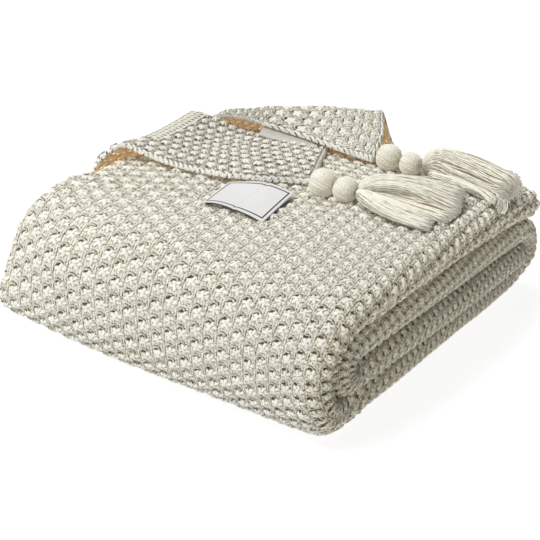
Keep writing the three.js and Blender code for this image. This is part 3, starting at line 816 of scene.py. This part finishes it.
def makeYarnFinish(finish):
    place, u, w = finish.ownMap()
    strand = wholeOf(u)
    own = sineOf(strand * 12.9 + 0.7) * 0.5 + 0.5
    ply = sineOf(u * fullTurn + w * 18.0) * 0.5 + 0.5
    edge = sineOf(u * fullTurn + quarterTurn) * 0.5 + 0.5
    fuzz = finish.noise(place, 3.0, 3.0)
    share = lower(higher(ply * 0.25 + own * 0.30 + edge * edge * 0.50 + (fuzz - 0.5) * 1.1 - 0.18, 0.0), 1.0)
    pale = finish.mix(share, (*yarnColours["light"], 1), (*yarnColours["shade"], 1))
    colour = finish.mix(rise(4.0, 9.0, w), pale, (*yarnColours["deep"], 1))
    finish.colour(colour, yarnColours["glow"])
    finish.bump(1.0 - ply * 0.5 - edge * 0.8 + fuzz * 0.5, 0.0008, 0.6)


makeYarnFinish(yarnFinish)

balls = {"places": {"ball_front_near": (52, -2.5, 8, 13.4, -0.8), "ball_front_far": (75.5, 0.5, 8, 12.0, -0.8),
                    "ball_rear_near": (56, 104, 5, 13.4, 0.8), "ball_rear_far": (80, 106, 5, 11.6, 0.8)},
         "length": 0.9, "strands": 34, "strandLean": 0.30, "strandDepth": 0.62, "dimple": 2.6, "dimpleSize": 0.28,
         "segments": 216, "rings": 44}


# a ball of yarn wound through its middle: strands run from pole to pole, each a little aslant
def woundBall(name, place, seed):
    x, y, turn, radius, clearance = place
    segments, rings = balls["segments"], balls["rings"]
    bpy.ops.object.select_all(action="DESELECT")
    bpy.ops.mesh.primitive_uv_sphere_add(segments=segments, ring_count=rings, radius=radius / 1000)
    ball = bpy.context.object
    ball.name = "wound_" + name
    mesh = ball.data
    points = np.empty(len(mesh.vertices) * 3)
    mesh.vertices.foreach_get("co", points)
    points = points.reshape(-1, 3) * 1000
    bearing = np.arctan2(points[:, 1], points[:, 0])
    polar = np.arccos(np.clip(points[:, 2] / radius, -1, 1))
    away = np.sin(polar)
    drift = 0.10 * np.sin(bearing * 3 + seed) * np.cos(polar) + 0.05 * np.sin(bearing * 7 + seed * 2)
    phase = balls["strands"] * (bearing + drift + balls["strandLean"] * (polar - 1.57))
    ridge = np.abs(np.sin(phase / 2)) ** 0.7
    layered = 0.25 * np.sin(bearing * 11 + polar * 3 + seed) * away
    lump = 0.5 * np.sin(bearing * 2 + seed) + 0.4 * np.sin(polar * 3 + bearing + seed)
    push = (balls["strandDepth"] * (ridge - 0.5) * np.clip(away * 2.2, 0, 1) + layered + lump * 0.5 * away)
    dimple = balls["dimple"] * np.exp(-(away / balls["dimpleSize"]) ** 2)
    unit = points / radius
    points = unit * (radius + push - dimple)[:, None]
    points[:, 2] *= balls["length"] + (1 - balls["length"]) * away
    axis = math.radians(turn)
    forward, sideways = np.array([math.cos(axis), math.sin(axis), 0]), np.array([-math.sin(axis), math.cos(axis), 0])
    centre = np.array(above(x, y, radius + clearance))
    world = centre + points[:, 2:3] * forward + points[:, 0:1] * sideways + points[:, 1:2] * np.array([0, 0, 1.0])
    mesh.vertices.foreach_set("co", (world / 1000).ravel())
    bpy.ops.object.mode_set(mode="EDIT")
    bpy.ops.mesh.select_all(action="SELECT")
    bpy.ops.mesh.normals_make_consistent(inside=False)
    bpy.ops.object.mode_set(mode="OBJECT")
    bpy.ops.object.shade_smooth()
    mesh.uv_layers[0].name = "stitches"
    corners = np.empty(len(mesh.loops), np.int32)
    mesh.loops.foreach_get("vertex_index", corners)
    places = np.stack([phase / fullTurn, polar * 1.2], -1)
    mesh.uv_layers[0].data.foreach_set("uv", places[corners].astype(np.float32).ravel())
    mesh.materials.append(yarnFinish.material)
    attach(ball, "root")
    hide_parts(name)


for number, (name, place) in enumerate(balls["places"].items()):
    woundBall(name, place, 1.7 * number + 0.4)
print("balls ready")

# each tassel is some locks; a section of a lock has x, y, height above the cloth, half width and half height
tassels = {
    "tassel_front": [
        {"strands": 330, "tilt": 8, "loose": 0.16, "sections": [
            (85, 6, 12, 2, 2), (88, 12, 14, 7, 6), (96, 21, 17, 10, 6.5), (113, 31, 18, 12, 6),
            (132, 41, 15.5, 15, 6.5), (150, 48, 11.5, 19, 7), (166, 54, 8, 21, 5.5)]},
        {"strands": 270, "tilt": -4, "loose": 0.10, "sections": [
            (85, 4, 10, 2, 2), (93, 2, 9.5, 7, 6), (110, -4, 9.5, 12, 6.5), (130, -8, 8.5, 15, 5.5),
            (146, -8, 7, 16, 4), (159, -5, 5, 16, 3), (168, -2, 4, 17, 2.5)]},
        {"strands": 110, "tilt": 0, "loose": 0.35, "sections": [
            (87, 8, 9, 3, 3), (95, 13, 8, 7, 4), (112, 17, 7.5, 10, 4), (134, 19, 7, 13, 3.5), (156, 21, 6, 15, 3),
            (174, 23, 4.5, 16, 2.5)]}],
    "tassel_rear": [
        {"strands": 420, "tilt": 12, "loose": 0.08, "sections": [
            (91, 109, 12, 4, 4), (96, 116, 15.5, 13, 12), (109, 122, 16.5, 17, 13.5), (131, 120, 15.5, 20, 13.5),
            (154, 115, 14, 20, 12.5), (173, 111, 12.5, 19, 11), (188, 108, 12, 17, 9)]},
        {"strands": 90, "tilt": 0, "loose": 0.30, "sections": [
            (104, 103, 8, 4, 3), (124, 101, 8, 7, 4), (148, 99, 8, 9, 4), (170, 95, 7, 10, 3.5), (183, 87, 5, 9, 3),
            (186, 76, 4, 8, 2)]}]}
strands = {"rings": 15, "radius": 0.72, "seed": 11, "clearance": 3.0}


def surfaceUnderTassel(x, y):
    rollStart = halfWidth - leafThickness / 2
    over = np.clip((x - rollStart) / (leafThickness / 2), 0, 1)
    drop = (1 - np.sqrt(1 - over * over)) * leafThickness / 2
    return stackTop(np.minimum(x, halfWidth), y) - 0.6 * drop + 2.5 * np.sqrt(over)


# tubes of three sides along many lines at once: lines is strands x rings x 3
def tubes(lines, radii):
    direction = np.gradient(lines, axis=1)
    direction /= np.linalg.norm(direction, axis=2, keepdims=True) + 1e-9
    side = np.cross(direction, np.array([0.0, 0.0, 1.0]))
    side /= np.linalg.norm(side, axis=2, keepdims=True) + 1e-9
    up = np.cross(side, direction)
    count, rings = lines.shape[:2]
    points = np.stack([lines + radii[..., None] * (math.cos(a) * side + math.sin(a) * up)
                       for a in (math.pi / 2, math.pi * 7 / 6, math.pi * 11 / 6)], 2)
    index = np.arange(count * rings * 3).reshape(count, rings, 3)
    following = np.roll(index, -1, 2)
    sides = np.stack([index[:, :-1], following[:, :-1], following[:, 1:], index[:, 1:]], -1).reshape(-1, 4)
    caps = np.concatenate([index[:, 0, ::-1], index[:, -1]])
    return points.reshape(-1, 3), [sides, caps]


# the lines of one lock's strands, and how deep each lies inside it
def lockLines(lock, chance):
    count, rings = lock["strands"], strands["rings"]
    shares = np.linspace(0, 1, 121)
    table = lineThrough([section[:3] for section in lock["sections"]], shares)
    sizes = np.array([np.interp(shares, np.linspace(0, 1, len(lock["sections"])), column)
                      for column in np.array(lock["sections"])[:, 3:].T]).T
    length = lengthsAlong(table)
    around = chance.uniform(0, 2 * math.pi, count)
    depth = np.sqrt(chance.uniform(0.12, 1, count))
    reach = 1 - np.abs(chance.normal(0, 0.055, count))
    stray = chance.uniform(0, 1, count) < lock["loose"]
    t = np.linspace(0, 1, rings)[None, :] * reach[:, None]
    at = t * length[-1]
    line = np.stack([np.interp(at, length, table[:, k]) for k in range(3)], -1)
    width, height = (np.interp(at, length, sizes[:, k]) for k in range(2))
    flow = np.gradient(line[..., :2], axis=1)
    flow /= np.linalg.norm(flow, axis=2, keepdims=True)
    turning = (around + chance.normal(0, 0.25, count))[:, None] + chance.normal(0, 0.35, count)[:, None] * t
    share = depth[:, None] * (1 + np.where(stray, chance.uniform(0.05, 0.5, count), 0)[:, None] * t ** 2)
    wave = chance.uniform(0, 2 * math.pi, (count, 2))
    sideways = width * share * np.cos(turning) + (0.5 + stray[:, None]) * np.sin(t * 8 + wave[:, :1]) * t
    upwards = height * share * np.sin(turning) + (0.4 + stray[:, None]) * np.sin(t * 10 + wave[:, 1:]) * t
    tilt = math.radians(lock["tilt"])
    x = line[..., 0] - flow[..., 1] * sideways * math.cos(tilt)
    y = line[..., 1] + flow[..., 0] * sideways * math.cos(tilt)
    lowest = strands["clearance"] + 1.2 * (1 - depth[:, None])
    lift = np.maximum(line[..., 2] + upwards + sideways * math.sin(tilt), lowest)
    return np.stack([x, y, surfaceUnderTassel(x, y) + lift], -1), depth


def tasselPiece(name, locks, seed):
    chance = np.random.default_rng(seed)
    parts = [lockLines(lock, chance) for lock in locks]
    lines, depth = np.concatenate([lines for lines, _ in parts]), np.concatenate([depth for _, depth in parts])
    count, rings = lines.shape[:2]
    radii = np.full((count, rings), strands["radius"]) * chance.uniform(0.8, 1.15, count)[:, None]
    points, faces = tubes(lines, radii)
    number = np.repeat(np.arange(count), rings * 3)
    # strands deep inside a lock are marked for the painted shade colour
    inside = np.repeat(np.where(depth < 0.6, 10.0, 0.0), rings * 3)
    places = np.stack([number + np.tile([0.5, 0.1, 0.9], count * rings),
                       inside * np.tile(np.repeat(rise(1.05, 0.7, np.linspace(0, 1, rings)), 3), count)
                     + np.tile(np.repeat(np.linspace(0, 3, rings), 3), count)], -1)
    piece = makeMesh("loose_" + name, points, faces, places, [yarnFinish])
    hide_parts(name)


for number, (name, locks) in enumerate(tassels.items()):
    tasselPiece(name, locks, strands["seed"] + number)
print("tassels ready")

# labels of smooth woven tape: a bare face inside a thin dark border
tapeFinish = Finish("wovenTape", 0.5, 0.1)
# the folded tape's copy is darker: painted shade under corner two
shadedTapeFinish = Finish("shadedFoldedWovenTape", 0.5, 0.1)
tapeColours = {"wide": (0.74, 0.74, 0.73), "folded": (0.56, 0.54, 0.51), "line": (0.02, 0.02, 0.025),
               "inset": 3.6, "lineWidth": 0.95}


def makeTapeFinish(finish, ground):
    place, u, w = finish.ownMap()
    weave = sineOf(u * 9.0) * sineOf(w * 8.0) * 0.5 + 0.5
    cloudy = finish.noise(place, 0.12, 2.0)
    fromLine = lower(u, w) - tapeColours["inset"]
    line = rise(-tapeColours["lineWidth"], -tapeColours["lineWidth"] * 0.5, -rootOf(fromLine * fromLine))
    shade = lower(higher(weave * 0.10 + (cloudy - 0.5) * 0.5 + 0.1, 0.0), 1.0)
    plain = finish.mix(shade, (*ground, 1), tuple(0.86 * c for c in ground) + (1,))
    finish.colour(finish.mix(line, plain, (*tapeColours["line"], 1)))
    finish.bump(weave, 0.0002, 0.4)


makeTapeFinish(tapeFinish, tapeColours["wide"])
makeTapeFinish(shadedTapeFinish, tapeColours["folded"])

wideLabel = {"front": ((-22, -85), (50, -86)), "back": ((-34, -35), (37, -25)), "thickness": 0.8, "grid": (49, 73),
             "lift": 2.6, "crease": 0.52, "arch": 5.5, "frontArch": 5.0, "rise": 3.5}


def thinSheet(grid, thickness, endOnly=False):
    rows, columns = grid.shape[:2]
    normal = normalsOf(grid)
    points = np.concatenate([(grid + normal * side * thickness / 2).reshape(-1, 3) for side in (1, -1)])
    i, j = np.mgrid[0:rows, 0:columns]
    long, wide = np.linalg.norm(grid[-1, 0] - grid[0, 0]), np.linalg.norm(grid[0, -1] - grid[0, 0])
    fromSides = np.minimum(j, columns - 1 - j) * wide / (columns - 1)
    fromEnds = np.minimum(i, rows - 1 - i) * long / (rows - 1)
    if endOnly:
        fromSides, fromEnds = fromSides + 20, (rows - 1 - i) * long / (rows - 1)
    places = np.stack([fromSides, fromEnds], -1).reshape(-1, 2)
    return points, twoFaced(rows, columns), np.concatenate([places, places])


def makeWideLabel():
    back, across = np.meshgrid(*(np.linspace(0, 1, count) for count in wideLabel["grid"]), indexing="ij")
    front, rear = (mixed(*np.array(wideLabel[edge], float), across[..., None]) for edge in ("front", "back"))
    place = mixed(front, rear, back[..., None])
    hump = np.sin(math.pi * across)
    lifted = wideLabel["arch"] * hump * back ** 1.5 + wideLabel["rise"] * across * back
    lifted = lifted + wideLabel["frontArch"] * np.sin(math.pi * across ** 0.85) * (1 - back) ** 1.4
    crease = 0.6 * np.exp(-((across - wideLabel["crease"] - 0.10 * back) / 0.03) ** 2)
    ripple = 0.4 * np.sin(across * 9 + back * 2)
    z = stackTop(place[..., 0], place[..., 1]) + wideLabel["lift"] + lifted + ripple - crease
    points, faces, places = thinSheet(np.concatenate([place, z[..., None]], -1), wideLabel["thickness"])
    piece = makeMesh("wovenLabel", points, faces, places, [tapeFinish])
    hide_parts("label_wide")


# a folded tape sewn under the edge of corner two; its loop stands out from it
tapeLabel = {"thickness": 0.8, "out": 7.5, "droop": 2.6, "lower": 3.6, "loop": 0.9, "from": 0.50, "to": 0.70,
             "rows": 41}


def makeTapeLabel():
    edge = cornerTwoGrid(101, 65)
    end, before = edge[:, -1], edge[:, -2]
    grid = []
    for t in np.linspace(tapeLabel["from"], tapeLabel["to"], tapeLabel["rows"]):
        k = t * 100
        at = lambda line: np.array([np.interp(k, np.arange(101), line[:, c]) for c in range(3)])
        tip = at(end)
        out = tip - at(before)
        out[2] *= 0.4
        out /= np.linalg.norm(out)
        down = np.array([0, 0, -1.0])
        upper = [tip + out * share * tapeLabel["out"]
                 + down * (tapeLabel["lower"] + tapeLabel["droop"] * max(share, 0) ** 2)
                 for share in (-0.8, -0.4, 0.0, 0.25, 0.5, 0.75, 0.9)]
        loop = [upper[-1] + out * tapeLabel["loop"] * math.sin(a) + down * tapeLabel["loop"] * (1 - math.cos(a))
                for a in np.radians((45, 90, 135, 180))]
        grid.append(upper + loop + [loop[-1] - out * share * tapeLabel["out"] for share in (0.3, 0.7, 1.1)])
    points, faces, places = thinSheet(np.array(grid), tapeLabel["thickness"], True)
    piece = makeMesh("foldedTape", points, faces, places, [shadedTapeFinish])
    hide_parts("label_tape")


makeWideLabel()
makeTapeLabel()
print("labels ready")
